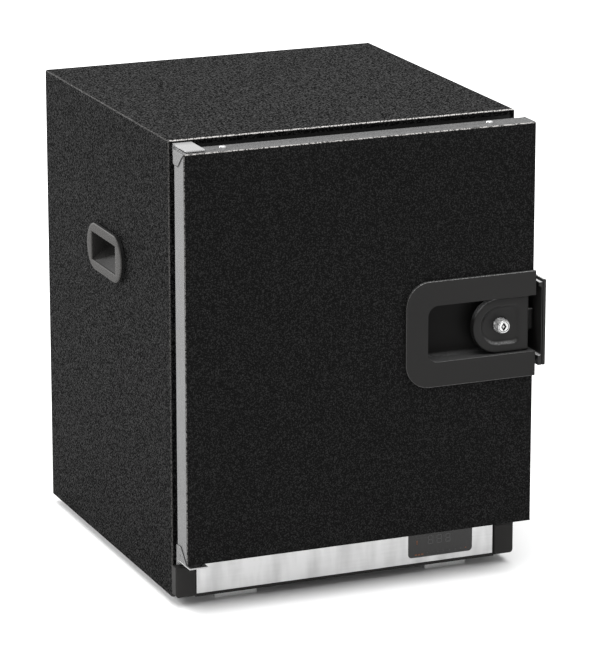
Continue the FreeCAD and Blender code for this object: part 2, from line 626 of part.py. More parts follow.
def make_door_edges():
    """The four edge profiles between the front sheet and the inner panel."""
    y = (DOOR_FRONT + SKIN, DOOR_BACK)
    x = grown(DOOR_X, -0.2)
    z = grown(DOOR_Z, -0.2)
    left = block((x[0], x[0] + EDGE_BAR), y, z)
    right = block((x[1] - EDGE_BAR, x[1]), y, z).cut(latch_cutout((DOOR_FRONT, POCKET_FLOOR + HOUSING_WALL)))
    inner = (x[0] + EDGE_BAR, x[1] - EDGE_BAR)
    top = block(inner, y, (z[1] - EDGE_BAR, z[1]))
    bottom = block(inner, y, (z[0], z[0] + EDGE_BAR))
    holes = [rod(BUSH_RADIUS + 0.1, (*HINGE, 40), (*HINGE, 510))]
    holes += [rod(SCREW_HOLE, (x, DOOR_SCREW_Y, 40), (x, DOOR_SCREW_Y, 510)) for x in DOOR_SCREW_X]
    return {"left": left, "right": right, "top": top.cut(holes), "bottom": bottom.cut(holes)}


def make_corner_caps():
    """Thin corner caps on the sides of the door, cut away diagonally towards its front."""
    rise, back = 13.6, DOOR_BACK + 2.0
    points = [(back, 0.0), (back, rise), (-29.0, rise), (-38.5, 6.5), (-44.4, 0.0)]
    caps = []
    for low in (True, False):
        level = (lambda h: DOOR_Z[0] + 0.2 + h) if low else (lambda h: DOOR_Z[1] - 0.2 - h)
        for x in (DOOR_X[0] - 0.6, DOOR_X[1] - 0.2):
            outline = [V(x, y, level(h)) for y, h in points]
            caps.append(Part.Face(Part.makePolygon(outline + outline[:1])).extrude(V(0.8, 0, 0)))
    return caps


def make_door_foam():
    """The door's insulation, cut for the latch housing and the hinge bushes."""
    foam = block(CORE_X, (DOOR_FRONT + SKIN, DOOR_BACK - LINER), CORE_Z)
    bushes = [rod(BUSH_RADIUS + 0.1, (*HINGE, z), (*HINGE, z + 22)) for z in (40, 484)]
    return foam.cut([latch_cutout((DOOR_FRONT, POCKET_FLOOR + HOUSING_WALL))] + bushes)


def make_door_liner():
    """The moulded inner panel with the raised dyke that the racks hang between."""
    panel = block(CORE_X, (DOOR_BACK - LINER, DOOR_BACK), CORE_Z)
    dyke = block(DYKE_X, (DOOR_BACK, DYKE_DEPTH), DYKE_Z)
    dyke = round_edges(dyke, 4.0, lambda b: b.YLength > 1)
    inside = block(grown(DYKE_X, -DYKE_WIDTH), (DOOR_BACK - 1, DYKE_DEPTH + 1), grown(DYKE_Z, -DYKE_WIDTH))
    dyke = dyke.cut(inside)
    dyke = round_edges(dyke, 2.0, at_y(DYKE_DEPTH))
    return panel.fuse(dyke).removeSplitter()


def make_rack(low, height):
    """An open bottle rack between the dykes."""
    x = grown(DYKE_X, -DYKE_WIDTH)
    rack = block(x, (DOOR_BACK, RACK_DEPTH), (low, low + height))
    rack = round_edges(rack, 6.0, lambda b: b.ZLength > 1 and b.YMin > RACK_DEPTH - 1)
    inside = (DOOR_BACK + RACK_WALL, RACK_DEPTH - RACK_WALL)
    return rack.cut(block(grown(x, -RACK_WALL), inside, (low + RACK_WALL, low + height + 1)))


def make_gasket():
    """The magnetic seal round the inner panel, with a bellows groove on each flank."""
    y = (DOOR_BACK, -0.1)
    outer = block(GASKET_X, y, GASKET_Z)
    inner = block(grown(GASKET_X, -GASKET_WIDTH), (DOOR_BACK - 1, 1), grown(GASKET_Z, -GASKET_WIDTH))
    ring = outer.cut(inner)
    middle = (y[0] + y[1]) / 2
    groove = (middle - 2.5, middle + 2.5)
    outside = block(grown(GASKET_X, 1), groove, grown(GASKET_Z, 1))
    outside = outside.cut(block(grown(GASKET_X, -2.5), groove, grown(GASKET_Z, -2.5)))
    inside = block(grown(GASKET_X, 2.5 - GASKET_WIDTH), groove, grown(GASKET_Z, 2.5 - GASKET_WIDTH))
    return ring.cut(outside).cut(inside)


def make_bush(low):
    """A flanged hinge bush; the lower one's flange carries the door on the hinge arm."""
    if low:
        sleeve = rod(BUSH_RADIUS, (*HINGE, 48.0), (*HINGE, 62.0))
        flange = rod(9.5, (*HINGE, PLATE_BOTTOM_Z + PLATE_THICK + 0.2), (*HINGE, DOOR_Z[0]))
        bush = sleeve.fuse(flange).removeSplitter()
        return bush.cut(rod(PIN_RADIUS + BUSH_FIT, (*HINGE, 40), (*HINGE, 61.2)))
    sleeve = rod(BUSH_RADIUS, (*HINGE, 484.0), (*HINGE, DOOR_Z[1] - 0.2))
    return sleeve.cut(rod(PIN_RADIUS + BUSH_FIT, (*HINGE, 485.8), (*HINGE, 500)))


def door():
    """The door leaf with its seal, racks, caps, bushes and screws."""
    save("door_skin", make_door_skin())
    for side, bar in make_door_edges().items():
        save(f"door_edge_{side}", bar)
    save("door_corner_caps", *make_corner_caps())
    save("door_foam", make_door_foam())
    save("door_liner", make_door_liner())
    save("door_rack_lower", make_rack(92.0, 58.0))
    save("door_rack_upper", make_rack(290.0, 44.0))
    save("door_gasket", make_gasket())
    save("hinge_bushes", make_bush(True), make_bush(False))
    ends = [(DOOR_Z[1] - 0.2, 1), (DOOR_Z[0] + 0.2, -1)]
    save("door_screws", *[pan_screw((x, DOOR_SCREW_Y, z), (0, 0, up), shank=EDGE_BAR)
                          for z, up in ends for x in DOOR_SCREW_X])


# ---------------------------------------------------------------- latch

def make_escutcheon():
    """The C-shaped pull: a raised surround and the recessed housing that the paddle sits in."""
    r = SURROUND_RADIUS
    surround = rounded_prism(SURROUND_X, SURROUND_Z, [r, 0, 0, r], (PLATE_FRONT, DOOR_FRONT), "Y")
    surround = round_edges(surround, 1.4, lambda b: at_y(PLATE_FRONT)(b) and b.XMin < SURROUND_X[1] - 1)
    housing = block((POCKET_X - HOUSING_WALL, DOOR_X[1]), (DOOR_FRONT, POCKET_FLOOR + HOUSING_WALL),
                    grown(POCKET_Z, HOUSING_WALL))
    cheek = block((DOOR_X[1], SURROUND_X[1]), (DOOR_FRONT, POCKET_FLOOR + HOUSING_WALL), grown(POCKET_Z, 12))
    deep = rounded_prism((POCKET_X, SURROUND_X[1] + 20), POCKET_Z, [POCKET_RADIUS, 0, 0, POCKET_RADIUS],
                         (PLATE_FRONT - 1, POCKET_FLOOR), "Y")
    deep = round_edges(deep, 7.0, lambda b: at_y(POCKET_FLOOR)(b) and b.XMin < SURROUND_X[1])
    pin = rod(PADDLE_PIN_RADIUS, (*PADDLE_PIN, PIN_SPAN[0]), (*PADDLE_PIN, PIN_SPAN[1]))
    return fused([surround, housing, cheek]).cut(deep).cut(pin)


def paddle_outline(y, margin, right, corner):
    """A plate with a half-round left end, set in from the paddle's edge by margin."""
    z = grown(PADDLE_Z, -margin)
    left = PADDLE_RIGHT - 66.0 + margin
    end = (z[1] - z[0]) / 2 - 0.01
    return rounded_prism((left, right), z, [end, corner, corner, end], y, "Y")


def make_paddle():
    """The paddle: a dished plate with a half-round grip end and a hub on the pivot pin."""
    body = paddle_outline(PADDLE_Y, 0.0, PADDLE_RIGHT, 0.0)
    body = round_edges(body, 1.5, at_y(PADDLE_Y[0]))
    dish = paddle_outline((PADDLE_Y[0] - 1, PADDLE_Y[0] + DISH_DEPTH), DISH_MARGIN, DISH_RIGHT, 5.0)
    dish = round_edges(dish, 1.5, at_y(PADDLE_Y[0] + DISH_DEPTH))
    hub = rod(4.6, (*PADDLE_PIN, PADDLE_Z[0]), (*PADDLE_PIN, PADDLE_Z[1]))
    body = body.fuse(hub).cut(dish).removeSplitter()
    bore = rod(PADDLE_PIN_RADIUS + 0.05, (*PADDLE_PIN, PADDLE_Z[0] - 1), (*PADDLE_PIN, PADDLE_Z[1] + 1))
    spring_bay = block((PADDLE_PIN[0] - 5.5, PADDLE_RIGHT + 1), (PADDLE_PIN[1] - 3.6, PADDLE_Y[1] + 2),
                       grown(SPRING_Z, 2))
    lock_hole = rod(LOCK_RADIUS + 0.05, (LOCK_X, PADDLE_Y[0], LOCK_Z), (LOCK_X, PADDLE_Y[1] + 1, LOCK_Z))
    return body.cut([bore, spring_bay, lock_hole])


def make_spring():
    """The paddle's return spring, a coil round the pivot pin."""
    helix = Part.makeHelix(2.2, SPRING_Z[1] - SPRING_Z[0], SPRING_RADIUS)
    section = Part.Wire(Part.Circle(V(SPRING_RADIUS, 0, 0), V(0, 1, 0), 0.6).toShape())
    coil = Part.Wire(helix).makePipeShell([section], True, True)
    coil.translate(V(PADDLE_PIN[0], PADDLE_PIN[1], SPRING_Z[0]))
    return coil


def make_cylinder():
    """The lock cylinder: a chromed barrel with a stepped rim and a bore for the plug."""
    z = LOCK_Z
    barrel = rod(LOCK_RADIUS, (LOCK_X, LOCK_FACE, z), (LOCK_X, LOCK_BACK, z))
    barrel = round_edges(barrel, 0.8, at_y(LOCK_FACE))
    bore = rod(PLUG_RADIUS + BUSH_FIT, (LOCK_X, LOCK_FACE - 1, z), (LOCK_X, LOCK_BACK + 1, z))
    return barrel.cut(bore)


def make_plug():
    """The turning plug with its keyway."""
    z = LOCK_Z
    plug = rod(PLUG_RADIUS, (LOCK_X, LOCK_FACE + 0.3, z), (LOCK_X, LOCK_BACK + 1.0, z))
    keyway = block((LOCK_X - 0.9, LOCK_X + 0.9), (LOCK_FACE - 1, LOCK_FACE + 6), (z - 3.4, z + 3.4))
    return plug.cut(keyway)


def make_lock_cam():
    """The flat cam on the back of the plug, pointing down when unlocked."""
    z = LOCK_Z
    y = (LOCK_BACK + 1.0, LOCK_BACK + 3.0)
    arm = block((LOCK_X - 4.5, LOCK_X + 4.5), y, (z - 20, z))
    return arm.fuse(rod(5.0, (LOCK_X, y[0], z), (LOCK_X, y[1], z))).removeSplitter()


def make_nut():
    """The hexagonal nut that clamps the lock cylinder to the paddle."""
    z = LOCK_Z
    y = (PADDLE_Y[1], PADDLE_Y[1] + 2.5)
    points = [V(LOCK_X + 11 * math.cos(math.radians(60 * i)), y[0], z + 11 * math.sin(math.radians(60 * i)))
              for i in range(7)]
    nut = Part.Face(Part.makePolygon(points)).extrude(V(0, y[1] - y[0], 0))
    return nut.cut(rod(LOCK_RADIUS + 0.05, (LOCK_X, y[0] - 1, z), (LOCK_X, y[1] + 1, z)))


def make_bolt():
    """The sliding latch bolt behind the paddle, with a rounded nose."""
    bolt = block(BOLT_X, BOLT_Y, BOLT_Z)
    return round_edges(bolt, 2.2, lambda b: b.ZLength > 1 and b.XMin > BOLT_X[1] - 0.1)


def latch():
    """The pull on the door, its paddle with the lock, and the bolt behind it."""
    save("latch_escutcheon", make_escutcheon())
    save("latch_paddle", make_paddle())
    save("paddle_pin", rod(PADDLE_PIN_RADIUS, (*PADDLE_PIN, PIN_SPAN[0]), (*PADDLE_PIN, PIN_SPAN[1])))
    save("latch_spring", make_spring())
    save("lock_cylinder", make_cylinder())
    save("lock_nut", make_nut())
    save("lock_plug", make_plug())
    save("lock_cam", make_lock_cam())
    save("latch_bolt", make_bolt())


def fans():
    """The two rotors, on one axis: the small one in the cavity and the large one behind the sink."""
    save("circulation_fan_rotor", make_rotor(FAN_RADIUS - 2.0, (267.5, 277.5), 7))
    save("rear_fan_rotor", make_rotor(REAR_FAN_RADIUS, (FOAM_BACK + 37, DEPTH - 9), 9))


os.makedirs("parts", exist_ok=True)
cabinet()
feet()
fascia()
hinges()
keeper()
door()
latch()
fans()
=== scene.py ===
import json
import math

import bmesh
import bpy
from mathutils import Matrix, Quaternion, Vector


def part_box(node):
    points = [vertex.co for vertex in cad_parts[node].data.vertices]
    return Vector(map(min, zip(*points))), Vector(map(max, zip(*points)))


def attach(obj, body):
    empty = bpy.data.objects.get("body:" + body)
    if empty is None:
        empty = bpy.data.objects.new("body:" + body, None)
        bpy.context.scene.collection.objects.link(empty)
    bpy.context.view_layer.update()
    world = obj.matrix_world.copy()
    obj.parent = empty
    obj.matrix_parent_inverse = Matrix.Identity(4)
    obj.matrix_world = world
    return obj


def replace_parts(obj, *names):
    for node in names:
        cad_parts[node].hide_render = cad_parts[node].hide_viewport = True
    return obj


# The looks of a lockable minibar refrigerator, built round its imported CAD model. Pieces are measured in the
# cabinet's own millimetres: X from the left side, Y from the front face towards the back, Z from the lower
# edge of the side panels. at() moves a point to the row frame, which is in metres.

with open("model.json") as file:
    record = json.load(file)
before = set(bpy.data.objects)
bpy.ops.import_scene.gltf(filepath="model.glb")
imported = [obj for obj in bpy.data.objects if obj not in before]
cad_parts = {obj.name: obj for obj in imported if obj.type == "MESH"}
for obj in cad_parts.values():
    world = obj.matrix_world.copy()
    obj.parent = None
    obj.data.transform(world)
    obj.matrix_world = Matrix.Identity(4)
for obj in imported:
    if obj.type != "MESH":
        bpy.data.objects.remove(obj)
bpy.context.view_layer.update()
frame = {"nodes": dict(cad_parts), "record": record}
nodes = frame["nodes"]

MM = 0.001
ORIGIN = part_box("cabinet_wrapper")[0].copy()

CAMERA_AZIMUTH = math.radians(-22.485)
CAMERA_ELEVATION = math.radians(15.498)
CAMERA_ROLL = math.radians(-0.063)
CAMERA_DISTANCE = 4.373
CAMERA_AIM = Vector((0.0092, 0.0136, 0.2478))
CAMERA_LENS = 215.31
CAMERA_SENSOR = 36.0
CAMERA_SHIFT = (0.0056, -0.0082)

# Cabinet and door
WIDTH = 400.0
HEIGHT = 502.5
DOOR_FRONT = -45.6
DOOR_TOP = 497.0
DOOR_SIDES = (0.2, 403.5)
DOOR_LEVELS = (49.2, 496.8)

# Paddle and lock
PADDLE_Z = (244.1, 305.5)
PADDLE_LEFT = 333.0
PADDLE_PIN = (392.0, -38.5)
HUB_RADIUS = 4.6
HUB_SPANS = ((244.1, 262.0), (288.0, 305.5))
LOCK_X = 366.4
LOCK_Z = 274.8
TURN_STEPS = 96
FLUTE_PITCH = 12
FLUTE_STEPS = (5, 6, 7)

# Pull
PULL_LEFT = 251.4
PULL_RIGHT = 404.9
PULL_Z = (215.6, 333.5)
PULL_FRONT = -49.1
POCKET_LEFT = 277.2
POCKET_Z = (243.3, 306.3)
PULL_CORNER = 27.5
POCKET_CORNER = 12.3
POCKET_SHADE_Y = (-44.5, -27.0)
BEAD_INSET = 0.5
BEAD_RADIUS = 0.42
MOUTH_INSET = 0.3
MOUTH_BEAD_RADIUS = 0.36

# Carry handles
CARRY_Y = (136.0, 246.0)
CARRY_Z = (310.4, 363.3)
CARRY_RADIUS = 26.0
MOUTH_Y = (155.0, 230.5)
MOUTH_Z = (320.3, 352.4)
CUP_WALL = 2.0
CUP_MOUTH_X = -3.35
CUP_SLOPE_X = -2.6
CUP_DEPTH = 24.0
CUP_BACK_HEIGHT = 8.4

# Rivets of the corner caps
RIVET_Y = -27.6
RIVET_Z = 55.5

# Display
STRIP_FRONT = -9.5
DIGIT_ORIGIN = (297.1, 23.6)
DIGIT_SIZE = (6.2, 10.0)
DIGIT_PITCH = 10.6
DIGIT_STROKE = 1.0
PALE_DOTS_X = (295.6, 303.2, 308.6, 315.4, 322.6, 329.6, 336.2)
AMBER_DASHES_X = (281.4, 285.2, 289.2)

# Stage
FLOOR_REACH = 30.0
SURROUND_STRENGTH = 0.5
OVERHEAD = ((0.0, -0.22, 1.0), 64.0, 3.6)
REAR_KEY = ((-0.33, 0.90, 0.25), 10.0, 3.2)


def at(x, y, z):
    """A point in cabinet millimetres, moved to the row frame."""
    return ORIGIN + Vector((x, y, z)) * MM


# ---------------------------------------------------------------- materials

class Nodes:
    """A short way to build one material's node tree."""

    def __init__(self, name):
        self.material = bpy.data.materials.new(name)
        self.material.use_nodes = True
        self.tree = self.material.node_tree
        self.shader = self.tree.nodes["Principled BSDF"]
        self.place = self.new("ShaderNodeTexCoord").outputs["Object"]

    def new(self, kind, **settings):
        node = self.tree.nodes.new(kind)
        for key, value in settings.items():
            setattr(node, key, value)
        return node

    def link(self, source, target):
        self.tree.links.new(source, target)

    def feed(self, socket, value):
        """Links a socket, or sets a plain number."""
        if isinstance(value, (int, float)):
            socket.default_value = value
        else:
            self.link(value, socket)

    def math(self, operation, *values):
        node = self.new("ShaderNodeMath", operation=operation)
        for socket, value in zip(node.inputs, values):
            self.feed(socket, value)
        return node.outputs["Value"]

    def noise(self, scale, detail=2.0, stretch=(1, 1, 1)):
        mapping = self.new("ShaderNodeMapping")
        mapping.inputs["Scale"].default_value = stretch
        self.link(self.place, mapping.inputs["Vector"])
        node = self.new("ShaderNodeTexNoise")
        node.inputs["Scale"].default_value = scale
        node.inputs["Detail"].default_value = detail
        self.link(mapping.outputs["Vector"], node.inputs["Vector"])
        return node.outputs["Fac"]

    def ramp(self, source, stops):
        """stops: (position, value or colour) pairs."""
        node = self.new("ShaderNodeValToRGB")
        bar = node.color_ramp.elements
        while len(bar) < len(stops):
            bar.new(0.5)
        for element, (position, value) in zip(bar, stops):
            element.position = position
            colour = (value,) * 3 if isinstance(value, (int, float)) else tuple(value)
            element.color = (*colour, 1.0)
        self.link(source, node.inputs["Fac"])
        return node.outputs["Color"]

    def add(self, first, second, share):
        """first plus share times second, as numbers."""
        return self.math("MULTIPLY_ADD", second, share, first)

    def near_line(self, axes, values, reach):
        """1 at the line where two axes have these values, and 0 from reach millimetres away."""
        split = self.new("ShaderNodeSeparateXYZ")
        self.link(self.place, split.inputs["Vector"])
        squares = []
        for axis, value in zip(axes, values):
            away = self.math("SUBTRACT", split.outputs[axis], value)
            squares.append(self.math("MULTIPLY", away, away))
        distance = self.math("SQRT", self.math("ADD", *squares))
        fall = self.new("ShaderNodeMapRange")
        fall.inputs["From Min"].default_value = reach * MM
        fall.inputs["From Max"].default_value = reach * 0.45 * MM
        self.link(distance, fall.inputs["Value"])
        return fall.outputs["Result"]

    def facing_up(self, start):
        """0 where the surface leans up less than start, rising to 1 where it is level."""
        split = self.new("ShaderNodeSeparateXYZ")
        self.link(self.new("ShaderNodeNewGeometry").outputs["Normal"], split.inputs["Vector"])
        rise = self.new("ShaderNodeMapRange", interpolation_type="SMOOTHSTEP")
        rise.inputs["From Min"].default_value = start
        rise.inputs["From Max"].default_value = 1.0
        self.link(split.outputs["Z"], rise.inputs["Value"])
        return rise.outputs["Result"]

    def mix(self, share, first, second):
        """Colour from first to second as share goes from 0 to 1."""
        node = self.new("ShaderNodeMix", data_type="RGBA")
        self.link(share, node.inputs[0])
        for socket, value in ((node.inputs[6], first), (node.inputs[7], second)):
            if isinstance(value, tuple):
                socket.default_value = (*value, 1.0)
            else:
                self.link(value, socket)
        return node.outputs[2]

    def bump(self, height, strength, distance):
        node = self.new("ShaderNodeBump")
        node.inputs["Strength"].default_value = strength
        node.inputs["Distance"].default_value = distance
        self.link(height, node.inputs["Height"])
        self.link(node.outputs["Normal"], self.shader.inputs["Normal"])

    def constant(self, **values):
        for key, value in values.items():
            self.shader.inputs[key.replace("_", " ")].default_value = value
        return self.material


def grey(value, warm=0.0):
    """A near-neutral linear colour."""
    return (value * (1 + warm), value, value * (1 - warm))


def pebble_paint(name, dark, light, highlight_edges, grain_mm=1.8, lift=0.45, spec=0.02, painted_top_light=2.3,
                 contrast=(0.5, 0.7)):
    """Powder coat with a pebbled surface: painted shade in the hollows and painted light on the tops of its
    grain, and painted highlights along folded edges.

    The edge list gives each painted highlight line as (axes, values, reach in millimetres, lightness). The
    top-light factor is how much lighter level faces are painted, as painted light from above, and contrast is
    the span of the grain between its darkest and lightest tones.
    """
    m = Nodes(name)
    fine = m.noise(1 / (grain_mm * MM), detail=1.0)
    broad = m.noise(1 / (grain_mm * 3.0 * MM), detail=1.0)
    mixed = m.add(fine, broad, 0.15)
    low, high = contrast
    middle = low * 0.55 + high * 0.45
    # The grain's colour follows its bump height: painted shade in the hollows, painted light on the tops. The
    # level copy, lighter by the top-light factor, is painted light on faces that face up.
    upright = m.ramp(mixed, [(low, grey(dark)), (middle, grey(light * 0.3)), (high, grey(light))])
    level = m.ramp(mixed, [(low, grey(dark)), (middle, grey(light * painted_top_light * 0.3)), (high, grey(light * painted_top_light))])
    colour = m.mix(m.facing_up(0.6), upright, level)
    # Painted highlights: dashed light lines along the listed folded edges.
    dashes = m.ramp(m.noise(1 / (1.6 * MM), detail=1.0), [(0.42, 0.12), (0.54, 1.0)])
    for axes, values, reach, lightness in highlight_edges:
        highlight_mask = m.math("MULTIPLY", m.near_line(axes, values, reach), dashes)
        colour = m.mix(highlight_mask, colour, grey(lightness, 0.03))
    m.link(colour, m.shader.inputs["Base Color"])
    m.link(m.ramp(fine, [(0.3, 0.62), (0.7, 0.46)]), m.shader.inputs["Roughness"])
    m.link(m.math("MULTIPLY", m.ramp(mixed, [(low, 0.3), (high, 1.7)]), spec),
           m.shader.inputs["Specular IOR Level"])
    m.bump(mixed, 0.8, lift * MM)
    return m.material


def moulded(name, colour, rough=0.42, grain_mm=0.5, lift=0.03, spread=0.12, spec=0.45,
            stretch=(1, 1, 1), painted_topside_light=None, recess_shade=None):
    """Moulded plastic with a fine spark-eroded grain and slightly uneven gloss.

    The top-light value is the lightness painted on its upward-facing faces, as painted light with a speckle.
    The recess span is the (start, end) depth along Y, in row-frame metres, over which painted shade darkens
    the plastic and weakens its specular.
    """
    m = Nodes(name)
    fine = m.noise(1 / (grain_mm * MM), detail=3.0, stretch=stretch)
    broad = m.noise(14.0, detail=2.0)
    low = tuple(c * (1 - spread) for c in colour)
    high = tuple(c * (1 + spread) for c in colour)
    tone = m.ramp(m.add(broad, fine, 0.6), [(0.55, low), (1.05, high)])
    if recess_shade is not None:
        # Painted shade: darker and less specular deeper in the recess.
        split = m.new("ShaderNodeSeparateXYZ")
        m.link(m.place, split.inputs["Vector"])
        inward = m.new("ShaderNodeMapRange")
        inward.inputs["From Min"].default_value, inward.inputs["From Max"].default_value = recess_shade
        m.link(split.outputs["Y"], inward.inputs["Value"])
        tone = m.mix(inward.outputs["Result"], tone, tuple(c * 0.6 for c in colour))
        m.link(m.math("MULTIPLY_ADD", inward.outputs["Result"], -0.7 * spec, spec),
               m.shader.inputs["Specular IOR Level"])
    if painted_topside_light is not None:
        # Painted light: a lighter, speckled tone on faces that face up, standing in for the light that falls
        # on them from above.
        speckle = m.noise(1 / (1.3 * MM), detail=1.0)
        topside_tone = m.ramp(speckle, [(0.42, grey(painted_topside_light * 0.5)), (0.58, grey(painted_topside_light * 1.3))])
        tone = m.mix(m.facing_up(0.2), tone, topside_tone)
    m.link(tone, m.shader.inputs["Base Color"])
    m.link(m.ramp(broad, [(0.3, rough * 0.88), (0.7, rough * 1.12)]), m.shader.inputs["Roughness"])
    m.bump(fine, 0.4, lift * MM)
    return m.material if recess_shade is not None else m.constant(Specular_IOR_Level=spec)


def metal(name, colour, rough=0.3, stretch=(1, 1, 1), grain=900.0, lift=0.01, metallic=1.0):
    """Metal with brushing or rolling marks along one direction."""
    m = Nodes(name)
    marks = m.noise(grain, detail=2.0, stretch=stretch)
    broad = m.noise(9.0, detail=3.0)
    low = tuple(c * 0.86 for c in colour)
    m.link(m.ramp(m.add(marks, broad, 0.4), [(0.45, low), (0.9, colour)]), m.shader.inputs["Base Color"])
    m.link(m.ramp(marks, [(0.3, rough * 1.25), (0.7, rough * 0.8)]), m.shader.inputs["Roughness"])
    m.bump(marks, 0.3, lift * MM)
    return m.constant(Metallic=metallic)


def brushed_strip(name, lightness):
    """Polished strip metal with faint slanting smears, as a wiped surface has."""
    m = Nodes(name)
    turn = m.new("ShaderNodeMapping")
    turn.inputs["Rotation"].default_value = (0, math.radians(38), 0)
    turn.inputs["Scale"].default_value = (1.0, 1.0, 0.18)
    m.link(m.place, turn.inputs["Vector"])
    smear = m.new("ShaderNodeTexNoise")
    smear.inputs["Scale"].default_value = 55.0
    smear.inputs["Detail"].default_value = 3.0
    m.link(turn.outputs["Vector"], smear.inputs["Vector"])
    fine = m.noise(500.0, stretch=(0.05, 1, 1))
    tone = m.add(smear.outputs["Fac"], fine, 0.15)
    colour = m.ramp(tone, [(0.42, grey(lightness * 0.84)), (0.66, grey(lightness))])
    m.link(colour, m.shader.inputs["Base Color"])
    m.link(m.ramp(tone, [(0.42, 0.42), (0.7, 0.3)]), m.shader.inputs["Roughness"])
    m.bump(fine, 0.2, 0.01 * MM)
    return m.constant(Metallic=1.0)


def edge_highlight_lines():
    """Painted highlight lines along the folded edges of the cabinet's wrapper and of the door's front sheet.
    """
    low = at(0, 0, 0)
    high = at(WIDTH, 0, HEIGHT)
    front = at(0, DOOR_FRONT, DOOR_TOP)
    wrapper = [(("Y", "Z"), (low.y, high.z), 1.5, 0.75), (("X", "Z"), (low.x, high.z), 1.7, 0.09),
               (("X", "Z"), (high.x, high.z), 1.7, 0.09), (("X", "Y"), (low.x, low.y), 1.8, 0.085),
               (("X", "Y"), (high.x, low.y), 1.6, 0.06)]
    door = [(("Y", "Z"), (front.y, front.z), 1.3, 0.5), (("X", "Y"), (low.x, front.y), 1.2, 0.16)]
    return wrapper, door


def make_materials():
    """One material for each material slot of the record."""
    wrapper_edges, door_edges = edge_highlight_lines()
    return {
        # Both coats have painted shade and light in their grain, painted light on level faces and painted
        # highlight lines along their folded edges.
        "wrapper_steel": pebble_paint("wrapper_paint", 0.0025, 0.018, wrapper_edges, painted_top_light=2.75, spec=0.0125),
        "door_steel": pebble_paint("door_paint", 0.0055, 0.019, door_edges, grain_mm=1.5, lift=0.18,
                                   contrast=(0.42, 0.76)),
        "frame_steel": moulded("frame_paint", grey(0.010), rough=0.5, spec=0.2),
        "pan_steel": metal("pan_zinc", grey(0.4), rough=0.42, grain=60.0),
        "foam": moulded("foam_cut", (0.6, 0.5, 0.3), rough=0.9, grain_mm=1.2, lift=0.2),
        "liner_white": moulded("liner_plastic", grey(0.6), rough=0.35, spread=0.04),
        "handle_grey": moulded("handle_plastic", grey(0.045, 0.04), rough=0.6, spread=0.3, grain_mm=1.6,
                               spec=0.12),
        "fin_aluminium": metal("fin_metal", grey(0.6), rough=0.35, stretch=(1, 1, 0.05)),
        "fan_black": moulded("fan_plastic", grey(0.012), rough=0.45),
        "ceramic": moulded("module_ceramic", grey(0.65), rough=0.6, spread=0.03),
        "supply_case": metal("supply_case_metal", grey(0.5), rough=0.4, stretch=(0.05, 1, 1)),
        "inlet_black": moulded("inlet_plastic", grey(0.010), rough=0.32),
        "shelf_wire": moulded("wire_coat", grey(0.6), rough=0.3, spread=0.04),
        "lamp_diffuser": moulded("lamp_plastic", grey(0.7), rough=0.5, spread=0.03),
        "screw_steel": metal("screw_metal", grey(0.75), rough=0.35, metallic=0.5),
        "foot_metal": metal("foot_cast_metal", grey(0.8), rough=0.4, grain=500.0, lift=0.05, metallic=0.2),
        "block_grey": moulded("block_plastic", grey(0.021, 0.03), rough=0.5, spec=0.1),
        "strip_bright": brushed_strip("strip_polish", 0.6),
        "window_smoke": moulded("window_gloss", grey(0.018, 0.03), rough=0.2, lift=0.0, spread=0.1,
                                spec=0.4),
        "digit_light": moulded("digit_segments", grey(0.05), rough=0.4, spread=0.2),
        "board_green": moulded("board_resin", (0.012, 0.10, 0.04), rough=0.5),
        "hinge_metal": metal("hinge_plate_metal", grey(0.52), rough=0.4, stretch=(1, 0.08, 1),
                             metallic=0.35),
        # The keeper's upward faces get painted highlights, for its bright top strips.
        "keeper_black": moulded("keeper_paint", grey(0.012, 0.03), rough=0.4, grain_mm=0.8, spec=0.2,
                                painted_topside_light=0.6),
        "edge_grey": moulded("edge_plastic", grey(0.125), rough=0.5, spread=0.2, grain_mm=0.9,
                             stretch=(0.06, 1, 0.06), lift=0.06, painted_topside_light=0.115),
        "cap_grey": moulded("cap_plastic", grey(0.135), rough=0.6, grain_mm=1.1, lift=0.08, spread=0.3),
        "gasket_dark": moulded("seal_rubber", grey(0.008), rough=0.6, spec=0.2),
        "bush_black": moulded("bush_plastic", grey(0.005), rough=0.45, spec=0.2),
        # The latch plastic has painted light on its upward faces and painted shade deep in the pull's pocket.
        "latch_black": moulded("latch_plastic", grey(0.0105, 0.03), rough=0.42, spec=0.17, painted_topside_light=0.06,
                               recess_shade=tuple(at(0, y, 0).y for y in POCKET_SHADE_Y)),
        "lock_chrome": metal("lock_chrome_plate", grey(0.68), rough=0.24, grain=500.0, metallic=0.65),
        "spring_steel": metal("spring_metal", grey(0.45), rough=0.3),
        "rack_clear": moulded("rack_plastic", grey(0.6), rough=0.25, spread=0.03),
    }


# How far the corners of a CAD node are rounded, in millimetres.
EDGE_SOFTNESS = {
    "latch_escutcheon": 0.5, "keeper_bracket": 0.6, "keeper_strike": 0.5, "fascia_carrier": 0.4,
    "fascia_strip": 0.12, "feet": 0.6, "hinge_plate_top": 0.3, "hinge_plate_bottom": 0.3,
    "door_edge_left": 0.3, "door_edge_right": 0.3, "door_edge_top": 0.3, "door_edge_bottom": 0.3,
    "latch_bolt": 0.5, "door_rack_lower": 0.6, "door_rack_upper": 0.6, "power_inlet": 0.4, "lock_nut": 0.3,
    "lock_cam": 0.3, "hinge_bushes": 0.4, "front_frame": 0.1, "door_gasket": 0.8, "display_window": 0.1,
}


def dress_cad_nodes(materials):
    """Gives every CAD node the material of its slot, and takes the sharpness off machined corners."""
    for part in frame["record"]["subparts"]:
        body = nodes[part["node"]]
        for place in body.material_slots:
            place.material = materials[part["material_slot"]]
    for name, width in EDGE_SOFTNESS.items():
        weld = nodes[name].modifiers.new("join_seams", "WELD")
        weld.merge_threshold = 0.01 * MM
        bevel = nodes[name].modifiers.new("soft_edges", "BEVEL")
        bevel.width = width * MM
        bevel.segments = 2
        bevel.limit_method = "ANGLE"
        bevel.angle_limit = math.radians(35)
        shading = nodes[name].modifiers.new("even_shading", "WEIGHTED_NORMAL")
        shading.keep_sharp = True


# ---------------------------------------------------------------- meshes

